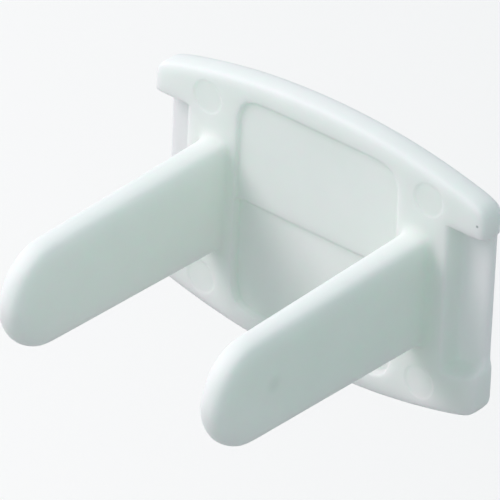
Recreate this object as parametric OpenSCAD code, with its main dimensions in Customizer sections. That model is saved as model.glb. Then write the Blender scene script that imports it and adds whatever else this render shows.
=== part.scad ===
// Outlet safety cover: a one-piece moulded cap whose two flat blades fill the slots of a socket.
// Origin: middle of the seating face, halfway between the blades.
// X runs along the plate, Y points along the blades, Z is up.

/* [Plate] */
// length of the plate along X
plate_len = 20.8; // [19.4:0.1:24]
// height of the plate at its middle
plate_mid_h = 14.7; // [13.6:0.1:16]
// height of the plate at its two ends
plate_end_h = 11.6; // [11.2:0.1:12.4]
// thickness of the plate
plate_t = 1.5; // [1.4:0.05:2.4]
// rounding of the top and bottom edges next to the seating face
back_edge_r = 0.35; // [0.2:0.05:0.6]
// rounding of the top and bottom edges next to the front face
front_edge_r = 0.4; // [0.2:0.05:0.5]
// rounding of the upright end edges
end_edge_r = 0.4; // [0.2:0.05:0.45]
// rounding of the four corners of the outline
corner_r = 0.6; // [0.5:0.05:1]

/* [Finger notches] */
// length of each notch, measured in from the plate's end
notch_len = 2.2; // [1.2:0.05:2.35]
// height of each notch
notch_h = 8.4; // [7:0.1:8.6]
// thickness of the shell that is left behind each notch at the plate's end
notch_shell_t = 0.45; // [0.3:0.05:0.8]
// how far the thin end behind each notch stays short of the plate's end
notch_short = 0.25; // [0.1:0.05:0.3]
// radius of the curved lower edge of each notch
notch_arc_r = 2.7; // [2.4:0.1:4]
// distance of that curve's middle from the notch's inner wall
notch_arc_in = 0.5; // [0.3:0.05:1]
// how much higher the curve's lowest point lies than half of the notch's height below the middle
notch_arc_up = 0.15; // [0.05:0.05:0.3]

/* [Blades] */
// distance between the middles of the two blades
blade_pitch = 12.7; // [12.6:0.05:12.8]
// how far the blades stand out from the seating face
blade_len = 15.3; // [12:0.1:17]
// height of a blade at its root
blade_root_h = 6.1; // [5.6:0.05:6.4]
// height of a blade where its round tip begins
blade_tip_h = 5.7; // [5.2:0.05:6]
// thickness of a blade at its root
blade_root_t = 1.6; // [1.5:0.05:1.7]
// thickness of a blade where its round tip begins
blade_tip_t = 1.4; // [1.2:0.05:1.5]
// rounding of the long edges
blade_edge_r = 0.55; // [0.3:0.05:0.6]
// flare where each blade grows out of the plate
root_flare = 0.4; // [0.2:0.05:0.45]

/* [Recess between the blades] */
// width of the recess along X
recess_w = 10.1; // [9:0.1:10.2]
// height of the recess
recess_h = 12.1; // [11:0.1:12.3]
// rounding of its corners
recess_r = 1.3; // [0.8:0.1:2]
// depth of the upper half
recess_top_d = 0.2; // [0.1:0.05:0.5]
// depth of the lower half
recess_low_d = 0.4; // [0.3:0.05:0.8]

/* [Ejector marks] */
// diameter of each round mark on the seating face
pin_d = 1.7; // [1.4:0.1:1.8]
// depth of each mark
pin_depth = 0.06; // [0.04:0.01:0.12]
// distance of the marks from the middle along X
pin_x = 6.95; // [6.6:0.05:7.1]
// distance of the marks from the middle along Z
pin_z = 5.15; // [4.9:0.05:5.3]

/* [Hidden] */
half_len = plate_len / 2;
mid_z = plate_mid_h / 2;
bulge = (plate_mid_h - plate_end_h) / 2;
// radius of the arched top and bottom edges, and the height of its centre
arch_r = (pow(half_len, 2) + pow(bulge, 2)) / (2 * bulge);
arch_z = arch_r - mid_z;
notch_depth = plate_t - notch_shell_t;
// centre of a corner's rounding, inside the arch and the end
corner_x = half_len - corner_r;
corner_z = sqrt(pow(arch_r - corner_r, 2) - pow(corner_x, 2)) - arch_z;
corner_turn = atan2(corner_z + arch_z, corner_x);
// middle of the notch's curved lower edge
notch_arc_x = half_len - notch_len + notch_arc_in;
notch_arc_z = -notch_h / 2 + notch_arc_up + notch_arc_r;
blade_x = blade_pitch / 2;
blade_tip_r = blade_tip_h / 2;
// how far a cutting shape reaches past what it cuts
lap = 0.5;
// thickness of the slices that the blades are stretched between
slice_t = 0.01;

part_colour = [0.93, 0.95, 0.94];

// a square corner from the origin with its outer corner rounded
module corner_square(w, h, r) {
    difference() {
        square([w, h]);
        translate([w - r, h - r])
            difference() {
                square(r + lap);
                circle(r = r, $fn = 48);
            }
    }
}

// half of the section of a disc with a rounded rim, from its axis outwards
module rim_section(radius, thick) {
    translate([0, -back_edge_r])
        corner_square(radius, back_edge_r, back_edge_r);
    translate([0, -thick])
        square([radius - front_edge_r, thick]);
    translate([0, -thick + front_edge_r])
        square([radius, thick - front_edge_r - back_edge_r]);
    translate([radius - front_edge_r, -thick + front_edge_r])
        circle(r = front_edge_r, $fn = 48);
}

// a disc lying in the XZ plane, its back at Y = 0
module rim_disc() {
    rotate([-90, 0, 0])
        rotate_extrude($fn = 360)
            rim_section(arch_r, plate_t);
}

// outline from above, its upright end edges rounded
module plan_outline() {
    translate([-half_len, -plate_t + end_edge_r])
        square([plate_len, plate_t - 2 * end_edge_r]);
    translate([-half_len + end_edge_r, -plate_t])
        square([plate_len - 2 * end_edge_r, plate_t]);
    for (side = [-1, 1])
        for (y = [-end_edge_r, -plate_t + end_edge_r])
            translate([side * (half_len - end_edge_r), y])
                circle(r = end_edge_r, $fn = 48);
}

// what is taken off one corner of the outline
module corner_chip() {
    reach = corner_r * 2;
    difference() {
        polygon([
            [0, 0],
            [reach, 0],
            [reach, reach * 2],
            [reach * cos(corner_turn), reach * 2],
            [reach * cos(corner_turn), reach * sin(corner_turn)]
        ]);
        circle(r = corner_r, $fn = 64);
    }
}

module plate() {
    difference() {
        intersection() {
            translate([0, 0, -arch_z]) rim_disc();
            translate([0, 0, arch_z]) rim_disc();
            translate([0, 0, -mid_z - lap])
                linear_extrude(plate_mid_h + 2 * lap)
                    plan_outline();
        }
        for (mx = [0, 1], mz = [0, 1])
            mirror([mx, 0, 0]) mirror([0, 0, mz])
                translate([corner_x, lap, corner_z])
                    rotate([90, 0, 0])
                        linear_extrude(plate_t + 2 * lap)
                            corner_chip();
    }
}

// outline of a finger notch in the XZ plane, its lower edge curved
module notch_outline() {
    intersection() {
        translate([half_len - notch_len, -notch_h])
            square([notch_len + lap, notch_h * 1.5]);
        union() {
            translate([notch_arc_x, notch_arc_z])
                circle(r = notch_arc_r, $fn = 96);
            translate([0, notch_arc_z])
                square([plate_len, notch_h]);
        }
    }
}

// section of a notch from above: its floor, and the cut-back end of the thin shell behind it
module notch_section() {
    inner = half_len - notch_len - lap;
    outer = half_len + 2 * lap;
    shell_end = half_len - notch_short;
    polygon([
        [inner, lap],
        [inner, -notch_depth],
        [shell_end, -notch_depth],
        [shell_end, -plate_t - lap],
        [outer, -plate_t - lap],
        [outer, lap]
    ]);
}

// one finger notch, at the +X end
module finger_notch() {
    intersection() {
        translate([0, 2 * lap, 0])
            rotate([90, 0, 0])
                linear_extrude(plate_t + 4 * lap)
                    notch_outline();
        translate([0, 0, -notch_h])
            linear_extrude(2 * notch_h)
                notch_section();
    }
}

module recess_outline() {
    x = recess_w / 2 - recess_r;
    z = recess_h / 2 - recess_r;
    square([recess_w, 2 * z], center = true);
    square([2 * x, recess_h], center = true);
    for (sx = [-1, 1], sz = [-1, 1])
        translate([sx * x, sz * z])
            circle(r = recess_r, $fn = 48);
}

// the recess: shallow above the middle, deeper below it
module recess() {
    intersection() {
        rotate([90, 0, 0])
            translate([0, 0, -lap])
                linear_extrude(lap + recess_low_d + lap)
                    recess_outline();
        union() {
            translate([-recess_w, -recess_top_d, 0])
                cube([2 * recess_w, recess_top_d + lap, recess_h]);
            translate([-recess_w, -recess_low_d, -recess_h])
                cube([2 * recess_w, recess_low_d + lap, recess_h]);
        }
    }
}

module ejector_marks() {
    for (sx = [-1, 1], sz = [-1, 1])
        translate([sx * pin_x, lap, sz * pin_z])
            rotate([90, 0, 0])
                cylinder(d = pin_d, h = lap + pin_depth, $fn = 48);
}

// a thin upright slice of a blade at y, its edges rounded, grown by g
module blade_slice(y, t, h, g) {
    r = min(blade_edge_r + g, t / 2 + g - slice_t);
    for (sx = [-1, 1], sz = [-1, 1])
        translate([sx * (t / 2 + g - r), y, sz * (h / 2 + g - r)])
            rotate([90, 0, 0])
                cylinder(r = r, h = slice_t, center = true, $fn = 32);
}

// the round tip: a disc on edge with a rounded rim
module blade_tip() {
    r = min(blade_edge_r, blade_tip_t / 2 - slice_t);
    flat = blade_tip_t / 2 - r;
    translate([0, blade_len - blade_tip_r, 0])
        rotate([0, 90, 0])
            for (s = [-1, 1])
                translate([0, 0, s * flat])
                    rotate_extrude($fn = 64)
                        translate([blade_tip_r - r, 0])
                            circle(r = r, $fn = 16);
}

module blade() {
    hull() {
        blade_slice(-lap, blade_root_t, blade_root_h, 0);
        blade_tip();
    }
    // flare at the root in two slopes
    hull() {
        blade_slice(-lap, blade_root_t, blade_root_h, root_flare);
        blade_slice(0, blade_root_t, blade_root_h, root_flare);
        blade_slice(root_flare * 0.35, blade_root_t, blade_root_h, root_flare * 0.35);
        blade_slice(root_flare, blade_root_t, blade_root_h, 0);
    }
}

module outlet_cover() {
    color(part_colour) {
        difference() {
            plate();
            recess();
            ejector_marks();
            for (m = [0, 1])
                mirror([m, 0, 0]) finger_notch();
        }
        for (side = [-1, 1])
            translate([side * blade_x, 0, 0]) blade();
    }
}

outlet_cover();
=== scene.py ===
# %% [markdown]
# # Outlet safety cover
# A small white cap that closes a socket with two flat slots. On the bench it is one injection
# moulding: a thin plate with arched long edges, two flat blades and two finger notches.
# Everything here is in metres and in the frame of the CAD model: X along the plate, Y along the
# blades, Z up, with the origin on the seating face halfway between the blades.

# %% Load the frame
import bmesh
import bpy
from math import atan2, cos, pi, radians, sin, sqrt
from mathutils import Matrix, Vector


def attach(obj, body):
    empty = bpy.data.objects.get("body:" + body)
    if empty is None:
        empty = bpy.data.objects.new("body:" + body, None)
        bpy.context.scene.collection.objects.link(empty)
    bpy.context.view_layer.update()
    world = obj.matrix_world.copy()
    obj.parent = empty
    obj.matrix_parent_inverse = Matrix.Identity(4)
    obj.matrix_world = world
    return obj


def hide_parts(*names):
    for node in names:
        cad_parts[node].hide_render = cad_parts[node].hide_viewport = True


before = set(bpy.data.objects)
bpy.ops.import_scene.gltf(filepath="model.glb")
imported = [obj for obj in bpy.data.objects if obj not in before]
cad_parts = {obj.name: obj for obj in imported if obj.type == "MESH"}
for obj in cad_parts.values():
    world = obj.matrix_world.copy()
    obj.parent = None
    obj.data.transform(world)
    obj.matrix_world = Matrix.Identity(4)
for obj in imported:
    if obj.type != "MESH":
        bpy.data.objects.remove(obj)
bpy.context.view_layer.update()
MM = 0.001

# %% [markdown]
# ## The sizes
# A moulding is drawn by its faces and by the roundings between them. These are the sizes that
# the mould maker would have on the drawing, in millimetres. The arched edges are circular arcs,
# so one function gives the half height of the plate at any X.

# %% Sizes of the moulding, in millimetres
HALF_LEN, MID_H, END_H = 10.40, 7.35, 5.80
PLATE_T = 1.50
BACK_R, FRONT_R, END_R, CORNER_R = 0.35, 0.40, 0.40, 0.60
NOTCH_X, NOTCH_D = 8.20, 1.05
ARC_X, ARC_Z, ARC_R = 8.70, 1.35, 2.70
SHORT, SHELL_RX, SHELL_RY, SHELL_FRONT = 0.25, 0.50, 0.24, 0.13
BLADE_X, BLADE_LEN = 6.35, 15.30
ROOT_H, TIP_H, ROOT_T, TIP_T, EDGE_R, FLARE = 3.05, 2.85, 0.80, 0.70, 0.55, 0.40
REC_W, REC_H, REC_R, REC_TOP, REC_LOW, REC_STEP = 5.05, 6.05, 1.30, 0.20, 0.40, 0.12
MARK_X, MARK_Z, MARK_D = 6.95, 5.15, 0.06
# how far a rounding's middle point lies inside the square corner, as a share of its radius
DIAGONAL = 0.19
# room for rounding errors when lines are compared, in millimetres
HAIR = 0.01


def arc_drop(x, half, sagitta):
    """How far an arc has fallen below its middle at x."""
    radius = (half ** 2 + sagitta ** 2) / (2 * sagitta)
    return radius - sqrt(radius ** 2 - min(abs(x), half) ** 2)


def half_height(x):
    """Half height of the plate at x, on its arched edge."""
    return MID_H - arc_drop(x, HALF_LEN, MID_H - END_H)


def notch_low(x):
    """How far below the middle the curved lower edge of a notch lies at x."""
    return ARC_Z + sqrt(ARC_R ** 2 - (x - ARC_X) ** 2)


def round_corner(p, q, r, reach):
    """Turns the square corner that (p, q) walks round into a round one. The argument r is not
    used.
    """
    if p <= 0 or q <= 0 or max(p, q) > reach:
        return p, q
    k = max(p, q) / sqrt(p * p + q * q)
    return p * k, q * k


print("half height in the middle and at the end", half_height(0), round(half_height(HALF_LEN), 3))

# %% [markdown]
# ## The cage's lines
# The plate is modelled as a cage for a Subdivision Surface modifier. Two grids with the same
# lines make its back and its front. A pair of lines close together holds an edge crisp, and
# lines farther apart let it go soft. A boolean cut would be quicker, but its long thin faces
# shade badly on a soft white plastic.
#
# Each notch is a profile along the lines that cross its edge: a little rounding at the seating
# face, a wall, a fillet, then the floor. The tables hold the share of the notch's depth that
# each line has reached. The edge above is crisp. The lower one is a soft ramp along an arc.

# %% Columns along X and rows along Z, and how deep the notch is at each
LAST_NOTCH_ROW, LAST_PLAIN_ROW, LAST_PLAIN_COL = 4.32, 3.75, 7.90
MARK_COL = 0.4
notch_cols = {-0.10: 0.0, 0.03: 0.10, 0.12: 0.45, 0.22: 0.80, 0.40: 0.96, 0.75: 1.0}
notch_share = {NOTCH_X + step: share for step, share in notch_cols.items()}
half_cols = [0.0, 1.9, REC_W - REC_R, 4.45, 4.85, REC_W - 0.05, REC_W + 0.03,
             BLADE_X - ROOT_T - FLARE, BLADE_X - MARK_COL, BLADE_X, BLADE_X + MARK_COL,
             BLADE_X + ROOT_T + FLARE, LAST_PLAIN_COL] + list(notch_share)
half_cols += [9.40, HALF_LEN - END_R, HALF_LEN]
top_share = {2.5: 1.0, ROOT_H + FLARE: 1.0, LAST_PLAIN_ROW: 1.0, 4.04: 0.98, 4.13: 0.78,
             4.18: 0.14, 4.22: 0.0, LAST_NOTCH_ROW: 0.0}
# the same rows on the lower side: their distance from the curved edge, and their share
low_share = {2.5: (-1.50, 1.0), ROOT_H + FLARE: (-1.05, 1.0), LAST_PLAIN_ROW: (-0.75, 1.0),
             4.04: (-0.45, 0.95), 4.13: (-0.26, 0.55), 4.18: (-0.10, 0.12),
             4.22: (0.04, 0.0), LAST_NOTCH_ROW: (0.20, 0.0)}
upper_rows = [1.3] + list(top_share)
upper_rows += [REC_H - REC_R, 5.4, REC_H - 0.2, REC_H - 0.06, REC_H + 0.02, REC_H + 0.12,
               MID_H - BACK_R, MID_H]
cols = [-c for c in reversed(half_cols[1:])] + half_cols
rows = ([-r for r in reversed(upper_rows)]
        + [REC_STEP - 0.22, REC_STEP - 0.05, REC_STEP + 0.05, REC_STEP + 0.2] + upper_rows)
NX, NZ = len(cols), len(rows)
print(NX, "columns and", NZ, "rows")

# %% [markdown]
# ## Where the lines cross
# Each crossing of a column and a row is one point of the cage. These functions give its place:
# rows bend towards the notch's curved edge or the arch, and corners are pulled round. Columns
# and rows that never bend keep the recess and the blades straight.


# %% Place of each crossing
BEND_FROM, BEND_OVER = 7.7, 0.4
ARCH_FROM, ARCH_OVER = 5.2, 2.2


def notch_at(x, z):
    """Share of the finger notch's depth at a crossing of the lines."""
    ax, az = abs(x), abs(z)
    share_x = notch_share.get(ax, 1.0 if ax > NOTCH_X + 0.7 else 0.0)
    if az not in top_share:
        share_z = 1.0 if az < 2 else 0.0
    else:
        share_z = top_share[az] if z > 0 else low_share[az][1]
    return min(share_x, share_z)


def end_shape(z):
    """The plate's end in a row: its X, its back rounding in X and in Y, its front rounding."""
    s = notch_at(HALF_LEN, z)
    return (HALF_LEN - s * SHORT, END_R + s * (SHELL_RX - END_R), END_R + s * (SHELL_RY - END_R),
            FRONT_R + s * (SHELL_FRONT - FRONT_R))


def place(x, z, inset_x, inset_z):
    """Where a crossing of the lines lies in the plane of the plate."""
    sx, sz = (1 if x >= 0 else -1), (1 if z >= 0 else -1)
    x, z = abs(x), abs(z)
    top = half_height(x)
    end_x, end_rx, _, _ = end_shape(sz * z)
    # lower rows bend to the curved edge of the notch
    if sz < 0 and z in low_share and x > BEND_FROM:
        share = min(1, (x - BEND_FROM) / BEND_OVER)
        z += share * (notch_low(x) + low_share[z][0] - z)
    # rows above the notch follow the arch, but not where the recess needs them straight
    elif LAST_NOTCH_ROW + HAIR < z < MID_H - BACK_R - HAIR:
        share = min(1, max(0, (x - ARCH_FROM) / ARCH_OVER))
        full = (top - BACK_R - LAST_NOTCH_ROW) / (MID_H - BACK_R - LAST_NOTCH_ROW)
        z = LAST_NOTCH_ROW + (z - LAST_NOTCH_ROW) * (1 + share * (full - 1))
    elif z == MID_H:
        z = top - inset_z
    elif z > LAST_NOTCH_ROW + HAIR:
        z = top - BACK_R
    if x == HALF_LEN:
        x = end_x - inset_x
    elif x == HALF_LEN - END_R:
        x = end_x - end_rx
    # the plate's corner
    p, q = x - (HALF_LEN - CORNER_R), z - (top - CORNER_R)
    p2, q2 = round_corner(p, q, CORNER_R, CORNER_R + 1)
    x, z = x + p2 - p, z + q2 - q
    # the recess's corner
    p, q = x - (REC_W - REC_R), z - (REC_H - REC_R)
    p2, q2 = round_corner(p, q, REC_R, REC_R + 0.14)
    return sx * (x + p2 - p), sz * (z + q2 - q)


def back_depth(x, z):
    """Depth of the back surface below the seating face."""
    if abs(x) < REC_W and abs(z) < REC_H:
        return REC_TOP if z > REC_STEP else REC_LOW
    return NOTCH_D * notch_at(x, z)


print("the upper corner's crossing comes to", place(HALF_LEN, MID_H, 0, 0))

# %% [markdown]
# ## The plate
# Two grids are made with the same number of lines, then each point is moved to its place. The
# rims of the grids are joined by three strips of faces, which carry the rounding of the edge.
# In the notches the back grid lies deeper, so the same strips make the thin end there.

# %% Make the back and front grids and move their points
bm = bmesh.new()
back = {}
front = {}
for store in (back, front):
    made = bmesh.ops.create_grid(bm, x_segments=NX - 1, y_segments=NZ - 1, size=1.0)
    for v in made["verts"]:
        i = round((v.co.x + 1) / 2 * (NX - 1))
        j = round((v.co.y + 1) / 2 * (NZ - 1))
        store[i, j] = v
for (i, j), v in back.items():
    x, z = cols[i], rows[j]
    _, rx, ry, _ = end_shape(z)
    px, pz = place(x, z, DIAGONAL * rx, DIAGONAL * BACK_R)
    drop = DIAGONAL * (ry if abs(x) == HALF_LEN else BACK_R if abs(z) == MID_H else 0)
    v.co = Vector((px, -back_depth(x, z) - drop, pz)) * MM
for (i, j), v in front.items():
    x, z = cols[i], rows[j]
    r = end_shape(z)[3] if abs(x) == HALF_LEN else FRONT_R
    px, pz = place(x, z, DIAGONAL * r, DIAGONAL * FRONT_R)
    rim = abs(x) == HALF_LEN or abs(z) == MID_H
    v.co = Vector((px, -PLATE_T + (DIAGONAL * r if rim else 0), pz)) * MM
front_verts = set(front.values())
bmesh.ops.reverse_faces(bm, faces=[f for f in bm.faces if f.verts[0] in front_verts])
print(len(bm.verts), "points in the two grids")

# %% [markdown]
# ## The rim
# Each strip is an extrusion of the back grid's border. Its new points go to the outline itself:
# first to the end of the back rounding, then to the start of the front rounding. The last strip
# is bridged to the front grid.

# %% Extrude the rim and join it to the front grid
front_border = [e for e in bm.edges if e.is_boundary and e.verts[0] in front_verts]
border = [e for e in bm.edges if e.is_boundary and e.verts[0] not in front_verts]
key_of = {v: k for k, v in back.items()}
for name in ("back_end", "front_start"):
    made = bmesh.ops.extrude_edge_only(bm, edges=border)["geom"]
    border = [g for g in made if isinstance(g, bmesh.types.BMEdge) and g.is_boundary]
    fresh = {}
    for v in (g for g in made if isinstance(g, bmesh.types.BMVert)):
        for e in v.link_edges:
            if e.other_vert(v) in key_of:
                fresh[v] = key_of[e.other_vert(v)]
    for v, (i, j) in fresh.items():
        x, z = cols[i], rows[j]
        _, _, ry, fr = end_shape(z)
        if abs(x) != HALF_LEN:
            ry, fr = BACK_R, FRONT_R
        px, pz = place(x, z, 0, 0)
        y = -back_depth(x, z) - ry if name == "back_end" else fr - PLATE_T
        v.co = Vector((px, y, pz)) * MM
    key_of = fresh
bmesh.ops.bridge_loops(bm, edges=border + front_border)
print("open edges left in the plate:", sum(1 for e in bm.edges if not e.is_manifold))

# %% [markdown]
# ## The ejector marks
# The pins that push the moulding out of the mould leave four shallow round dips. To put a round
# form into a square grid, take out a block of faces, extrude the border of the hole inwards and
# move its new points onto a circle. The face is flat here, so the uneven faces round the circle
# don't show.

# %% Swap a block of the back grid for rings round each mark
mark_rings = [(0.98, 0.0), (0.93, 0.06), (0.86, 0.6), (0.80, 0.96), (0.62, 1.0), (0.30, 1.0)]
for sx in (-1, 1):
    for sz in (-1, 1):
        block = {v for (i, j), v in back.items()
                 if BLADE_X - MARK_COL - HAIR < sx * cols[i] < LAST_PLAIN_COL + HAIR
                 and LAST_PLAIN_ROW - HAIR < sz * rows[j] < MID_H - HAIR}
        inside = [f for f in bm.faces if all(v in block for v in f.verts)]
        bmesh.ops.delete(bm, geom=inside, context="FACES")
        loop = [e for e in bm.edges if e.is_boundary]
        for radius, share in mark_rings:
            made = bmesh.ops.extrude_edge_only(bm, edges=loop)["geom"]
            loop = [g for g in made if isinstance(g, bmesh.types.BMEdge) and g.is_boundary]
            turn = {}
            for v in (g for g in made if isinstance(g, bmesh.types.BMVert)):
                turn[v] = atan2(v.co.z / MM - sz * MARK_Z, v.co.x / MM - sx * MARK_X)
            ordered = sorted(turn, key=turn.get)
            step = 2 * pi / len(ordered)
            first = sum(turn[v] - k * step for k, v in enumerate(ordered)) / len(ordered)
            for k, v in enumerate(ordered):
                angle = first + k * step
                v.co = Vector((sx * MARK_X + radius * cos(angle), -share * MARK_D,
                               sz * MARK_Z + radius * sin(angle))) * MM
        bmesh.ops.contextual_create(bm, geom=loop)
back = {k: v for k, v in back.items() if v.is_valid}
print("points round each mark:", len(loop), "and open edges:",
      sum(1 for e in bm.edges if not e.is_manifold))

# %% [markdown]
# ## The blades
# A blade is a flat bar with rounded edges and a round tip. Its section changes all along it: the
# root has a concave fillet, the middle tapers so that it leaves the mould, and the tip closes on
# a half circle. One function gives that section at any distance from the seating face.


# %% A blade's section at any distance
def ring_shape(y):
    """Half thickness, half height and corner roundings of a blade's section at y."""
    if y <= FLARE:
        grow = FLARE - sqrt(max(0, FLARE ** 2 - (FLARE - y) ** 2))
        return ROOT_T + grow, ROOT_H + grow, EDGE_R + grow, EDGE_R + grow
    start = BLADE_LEN - TIP_H
    if y <= start:
        k = (y - FLARE) / (start - FLARE)
        return ROOT_T + k * (TIP_T - ROOT_T), ROOT_H + k * (TIP_H - ROOT_H), EDGE_R, EDGE_R
    d = y - start
    rim = max(0, d - (TIP_H - EDGE_R))
    a = TIP_T - EDGE_R + sqrt(max(0, EDGE_R ** 2 - rim ** 2))
    h = sqrt(max(0, TIP_H ** 2 - d ** 2))
    inner = sqrt(max(0, (TIP_H - EDGE_R) ** 2 - d ** 2))
    return a, h, min(EDGE_R, a * 0.95), max(h - inner, 0.02)


def section_point(s, t, y, rows_in):
    """Point of a blade's section, from its column number s and its row t."""
    a, h, rx, rz = ring_shape(y)
    x = {0: -a, 1: -(a - rx), 2: 0, 3: a - rx, 4: a}[s]
    last = len(rows_in) - 1
    if t in (0, last):
        z = h if t == last else -h
    else:
        z = rows_in[t] / (ROOT_H - EDGE_R) * (h - rz)
    if s in (0, 4) and t in (0, last):
        x = (a - DIAGONAL * rx) * (1 if s == 4 else -1)
        z = (h - DIAGONAL * rz) * (1 if t == last else -1)
    return x, z


print("half thickness and half height half way along:", ring_shape(BLADE_LEN / 2)[:2])

# %% [markdown]
# ## Growing the blades
# Each blade grows out of its own block of faces on the back grid, which is extruded ring by
# ring. The rings stand close together at the fillet and at the tip, where the section changes
# fast. A separate bar set against the plate would leave a hard line at its root.

# %% Extrude the blades out of the back grid
tip_angles = [12, 24, 36, 47, 57, 66, 74, 81, 86.5]
ring_ys = [0.117, FLARE, 1.0, 4.0, 8.0, BLADE_LEN - TIP_H - 0.6, BLADE_LEN - TIP_H]
ring_ys += [BLADE_LEN - TIP_H + TIP_H * sin(radians(t)) for t in tip_angles]
row_ids = [j for j in range(NZ) if abs(rows[j]) <= ROOT_H + FLARE + 1e-6]
rows_in = [rows[j] for j in row_ids]
for side in (-1, 1):
    centre = side * BLADE_X
    col_ids = [i for i in range(NX) if abs(cols[i] - centre) <= ROOT_T + FLARE + 1e-6]
    block = {back[i, j]: (i - col_ids[0], j - row_ids[0]) for i in col_ids for j in row_ids}
    for v, (s, t) in block.items():
        x, z = section_point(s, t, 0.0, rows_in)
        if s in (0, 4) or t in (0, len(row_ids) - 1):
            v.co = Vector((centre + x, 0, z)) * MM
    faces = [f for f in bm.faces if all(v in block for v in f.verts)]
    for y in ring_ys:
        made = bmesh.ops.extrude_face_region(bm, geom=faces)["geom"]
        bmesh.ops.delete(bm, geom=faces, context="FACES_ONLY")
        faces = [g for g in made if isinstance(g, bmesh.types.BMFace)]
        fresh = {}
        for v in (g for g in made if isinstance(g, bmesh.types.BMVert)):
            below = [e.other_vert(v) for e in v.link_edges if e.other_vert(v) in block]
            if below:
                fresh[v] = block[below[0]]
        inner = [v for f in faces for v in f.verts if v not in fresh]
        for v in inner:
            near = min(block, key=lambda b: (b.co - v.co).length)
            fresh[v] = block[near]
        for v, (s, t) in fresh.items():
            x, z = section_point(s, t, y, rows_in)
            bulge = 0.0
            if y == ring_ys[-1] and 0 < s < 4 and 0 < t < len(row_ids) - 1:
                bulge = BLADE_LEN - y
            v.co = Vector((centre + x, y + bulge, z)) * MM
        block = fresh
loose = [v for v in bm.verts if not v.link_faces]
bmesh.ops.delete(bm, geom=loose, context="VERTS")
bmesh.ops.recalc_face_normals(bm, faces=bm.faces)
print("open edges in the whole cage:", sum(1 for e in bm.edges if not e.is_manifold))
print("cage volume in cubic millimetres:", round(bm.calc_volume() * 1e9, 1))


def face_rank(face):
    """A number that puts the faces in the order of their points."""
    low, mid, high = sorted(v.index for v in face.verts)[:3]
    return (low * len(bm.verts) + mid) * len(bm.verts) + high


# extruding gives its faces in a different order each run, so they are put in a fixed one
bm.verts.index_update()
bm.faces.sort(key=face_rank)

# %% [markdown]
# ## The finished moulding
# The cage becomes one object, and a Subdivision Surface modifier rounds it. Its level is the same
# in the view and in the render.

# %% Make the object and smooth it
mesh = bpy.data.meshes.new("cover_moulding")
bm.to_mesh(mesh)
bm.free()
cover = bpy.data.objects.new("cover_moulding", mesh)
bpy.context.collection.objects.link(cover)
for poly in mesh.polygons:
    poly.use_smooth = True
sub = cover.modifiers.new("smooth", "SUBSURF")
sub.levels = sub.render_levels = 2
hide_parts("outlet_cover")
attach(cover, "root")
print(len(mesh.polygons), "faces in the cage before smoothing")

# %% [markdown]
# ## The plastic
# White polypropylene lets a little light in and scatters it, so its shadows are soft and faintly
# green. A Principled shader with some subsurface scattering does that. The surface is satin:
# a fine mould grain goes into the bump and the roughness, and a slow mottle into the colour.
#
# This cap carries two small marks, a scuff on one blade and a speck near the plate's end. Each
# is a dark spot that fades with the distance from a point.


# %% Procedural white polypropylene, with the marks as point, inner and outer radius, and strength
marks = [((-7.10, 11.20, 0.0), 0.15, 0.60, 0.10), ((-9.96, 0.0, 4.94), 0.04, 0.09, 0.80)]


def polypropylene():
    """White plastic that scatters light inside, with grain, mottle and marks."""
    mat = bpy.data.materials.new("white_polypropylene")
    mat.use_nodes = True
    nt = mat.node_tree
    n, link = nt.nodes, nt.links
    bsdf = n["Principled BSDF"]
    bsdf.inputs["Subsurface Weight"].default_value = 1.0
    bsdf.inputs["Subsurface Radius"].default_value = (0.8, 1.0, 0.9)
    bsdf.inputs["Subsurface Scale"].default_value = 0.0016
    bsdf.inputs["IOR"].default_value = 1.49
    bsdf.inputs["Specular IOR Level"].default_value = 0.35
    coord = n.new("ShaderNodeTexCoord")
    mottle = n.new("ShaderNodeTexNoise")
    mottle.inputs["Scale"].default_value = 260
    mottle.inputs["Detail"].default_value = 3
    link.new(coord.outputs["Object"], mottle.inputs["Vector"])
    ramp = n.new("ShaderNodeValToRGB")
    ramp.color_ramp.elements[0].position = 0.3
    ramp.color_ramp.elements[0].color = (0.800, 0.852, 0.808, 1)
    ramp.color_ramp.elements[1].position = 0.7
    ramp.color_ramp.elements[1].color = (0.830, 0.872, 0.832, 1)
    link.new(mottle.outputs["Fac"], ramp.inputs["Fac"])
    colour = ramp.outputs["Color"]
    for spot, inner, outer, strength in marks:
        far = n.new("ShaderNodeVectorMath")
        far.operation = "DISTANCE"
        far.inputs[1].default_value = Vector(spot) * MM
        link.new(coord.outputs["Object"], far.inputs[0])
        fade = n.new("ShaderNodeMapRange")
        fade.inputs["From Min"].default_value = outer * MM
        fade.inputs["From Max"].default_value = inner * MM
        fade.inputs["To Max"].default_value = strength
        link.new(far.outputs["Value"], fade.inputs["Value"])
        dirt = n.new("ShaderNodeMix")
        dirt.data_type = "RGBA"
        dirt.inputs["B"].default_value = (0.30, 0.34, 0.33, 1)
        link.new(fade.outputs["Result"], dirt.inputs["Factor"])
        link.new(colour, dirt.inputs["A"])
        colour = dirt.outputs["Result"]
    link.new(colour, bsdf.inputs["Base Color"])
    grain = n.new("ShaderNodeTexNoise")
    grain.inputs["Scale"].default_value = 9000
    grain.inputs["Detail"].default_value = 2
    link.new(coord.outputs["Object"], grain.inputs["Vector"])
    rough = n.new("ShaderNodeMapRange")
    rough.inputs["To Min"].default_value = 0.55
    rough.inputs["To Max"].default_value = 0.68
    link.new(grain.outputs["Fac"], rough.inputs["Value"])
    link.new(rough.outputs["Result"], bsdf.inputs["Roughness"])
    bump = n.new("ShaderNodeBump")
    bump.inputs["Strength"].default_value = 0.12
    bump.inputs["Distance"].default_value = 0.00002
    link.new(grain.outputs["Fac"], bump.inputs["Height"])
    link.new(bump.outputs["Normal"], bsdf.inputs["Normal"])
    return mat


cover.data.materials.append(polypropylene())
print(len(marks), "marks on", cover.data.materials[0].name)

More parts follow.
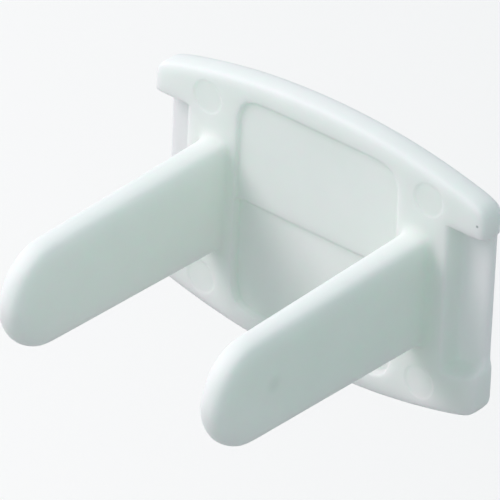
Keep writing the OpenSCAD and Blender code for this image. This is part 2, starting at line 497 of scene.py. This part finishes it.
# %% [markdown]
# ## The camera
# The camera stands where the photographer stood: far off with a long lens, above the blades'
# tips and towards one end of the plate. It is turned to the middle of the picture instead of
# being shifted, which is the simplest way to keep the whole view true.

# %% Camera from the fitted view
AZ, EL, ROLL, DIST, FOCAL_PX = radians(38.694), radians(31.676), radians(2.623), 395.1, 8149.9
CENTRE_PX = (312.6, 239.15)
to_cam = Vector((-sin(AZ) * cos(EL), cos(AZ) * cos(EL), sin(EL)))
right0 = Vector((-cos(AZ), -sin(AZ), 0))
up0 = right0.cross(-to_cam).normalized()
right = right0 * cos(ROLL) + up0 * sin(ROLL)
up = -right0 * sin(ROLL) + up0 * cos(ROLL)
# aim so that the middle of a 500 px frame is the middle of the picture
look = (-to_cam * FOCAL_PX + right * (250 - CENTRE_PX[0]) - up * (250 - CENTRE_PX[1])).normalized()
side_v = look.cross(up).normalized()
up_v = side_v.cross(look)
cam_data = bpy.data.cameras.new("camera")
cam_data.sensor_width = 36
cam_data.lens = FOCAL_PX * 36 / 500
cam_data.clip_start = 0.01
cam_data.clip_end = 10
camera = bpy.data.objects.new("camera", cam_data)
rot = Matrix((side_v, up_v, -look)).transposed().to_4x4()
camera.matrix_world = Matrix.Translation(to_cam * DIST * MM) @ rot
bpy.context.collection.objects.link(camera)
bpy.context.scene.camera = camera
bpy.context.scene.view_settings.view_transform = "Standard"
print("lens", round(cam_data.lens, 1), "mm")

# %% [markdown]
# ## The floor
# The floor is pale paper. Seen directly it is white, but the light that it throws back on the
# plastic is that of a greyer sheet, which keeps the shadowed sides from washing out. It still
# takes the cap's shadow.

# %% Floor, and a value that tells direct sight from bounced light
FLOOR_Z = -0.030
bm = bmesh.new()
bmesh.ops.create_grid(bm, x_segments=1, y_segments=1, size=1.5)
mesh = bpy.data.meshes.new("floor")
bm.to_mesh(mesh)
bm.free()
floor = bpy.data.objects.new("floor", mesh)
floor.location.z = FLOOR_Z
bpy.context.collection.objects.link(floor)


def seen_directly(nt):
    """A value that is 1 where the camera, a reflection or a view through something looks."""
    path = nt.nodes.new("ShaderNodeLightPath")
    value = path.outputs["Is Camera Ray"]
    for ray in ("Is Glossy Ray", "Is Transmission Ray"):
        either = nt.nodes.new("ShaderNodeMath")
        either.operation = "MAXIMUM"
        nt.links.new(value, either.inputs[0])
        nt.links.new(path.outputs[ray], either.inputs[1])
        value = either.outputs["Value"]
    return value


fmat = bpy.data.materials.new("floor_paper")
fmat.use_nodes = True
nt = fmat.node_tree
fb = nt.nodes["Principled BSDF"]
fb.inputs["Roughness"].default_value = 0.9
tone = nt.nodes.new("ShaderNodeMix")
tone.data_type = "RGBA"
tone.inputs["A"].default_value = (0.40, 0.40, 0.40, 1)
tone.inputs["B"].default_value = (1.0, 0.985, 0.945, 1)
nt.links.new(seen_directly(nt), tone.inputs["Factor"])
nt.links.new(tone.outputs["Result"], fb.inputs["Base Color"])
floor.data.materials.append(fmat)
print("floor at", FLOOR_Z, "m")

# %% [markdown]
# ## The surround
# Even, slightly cool light from all sides stands in for a light tent. Where it is seen directly
# it is plain white.

# %% Surround
world = bpy.data.worlds.new("surround")
bpy.context.scene.world = world
world.use_nodes = True
nt = world.node_tree
soft = nt.nodes["Background"]
soft.inputs["Color"].default_value = (0.849, 0.953, 1.0, 1)
soft.inputs["Strength"].default_value = 0.620
white = nt.nodes.new("ShaderNodeBackground")
white.inputs["Color"].default_value = (1, 1, 1, 1)
white.inputs["Strength"].default_value = 1.0
pick = nt.nodes.new("ShaderNodeMixShader")
nt.links.new(seen_directly(nt), pick.inputs["Fac"])
nt.links.new(soft.outputs["Background"], pick.inputs[1])
nt.links.new(white.outputs["Background"], pick.inputs[2])
nt.links.new(pick.outputs["Shader"], nt.nodes["World Output"].inputs["Surface"])
print("surround strength", round(soft.inputs["Strength"].default_value, 3))

# %% [markdown]
# ## The lamp
# One large round lamp, up and to the left of the picture, models the form. Its size sets how soft
# the shadows of the blades are.


# %% Lamp
def lamp(name, direction, distance, size, power, colour):
    """A round soft lamp that looks at the origin."""
    data = bpy.data.lights.new(name, "AREA")
    data.shape = "DISK"
    data.size = size
    data.energy = power
    data.color = colour
    obj = bpy.data.objects.new(name, data)
    direction = Vector(direction).normalized()
    obj.location = direction * distance
    obj.rotation_euler = direction.to_track_quat("Z", "Y").to_euler()
    bpy.context.collection.objects.link(obj)
    print(name, "lamp of", power, "W at", distance, "m")


lamp("key", (0.55, 0.50, 0.67), 0.6, 0.35, 2.30, (1.0, 0.900, 0.945))

# %% [markdown]
# ## The end
# The last cell prints that the scene is finished.

# %% Finish
print("scene finished")
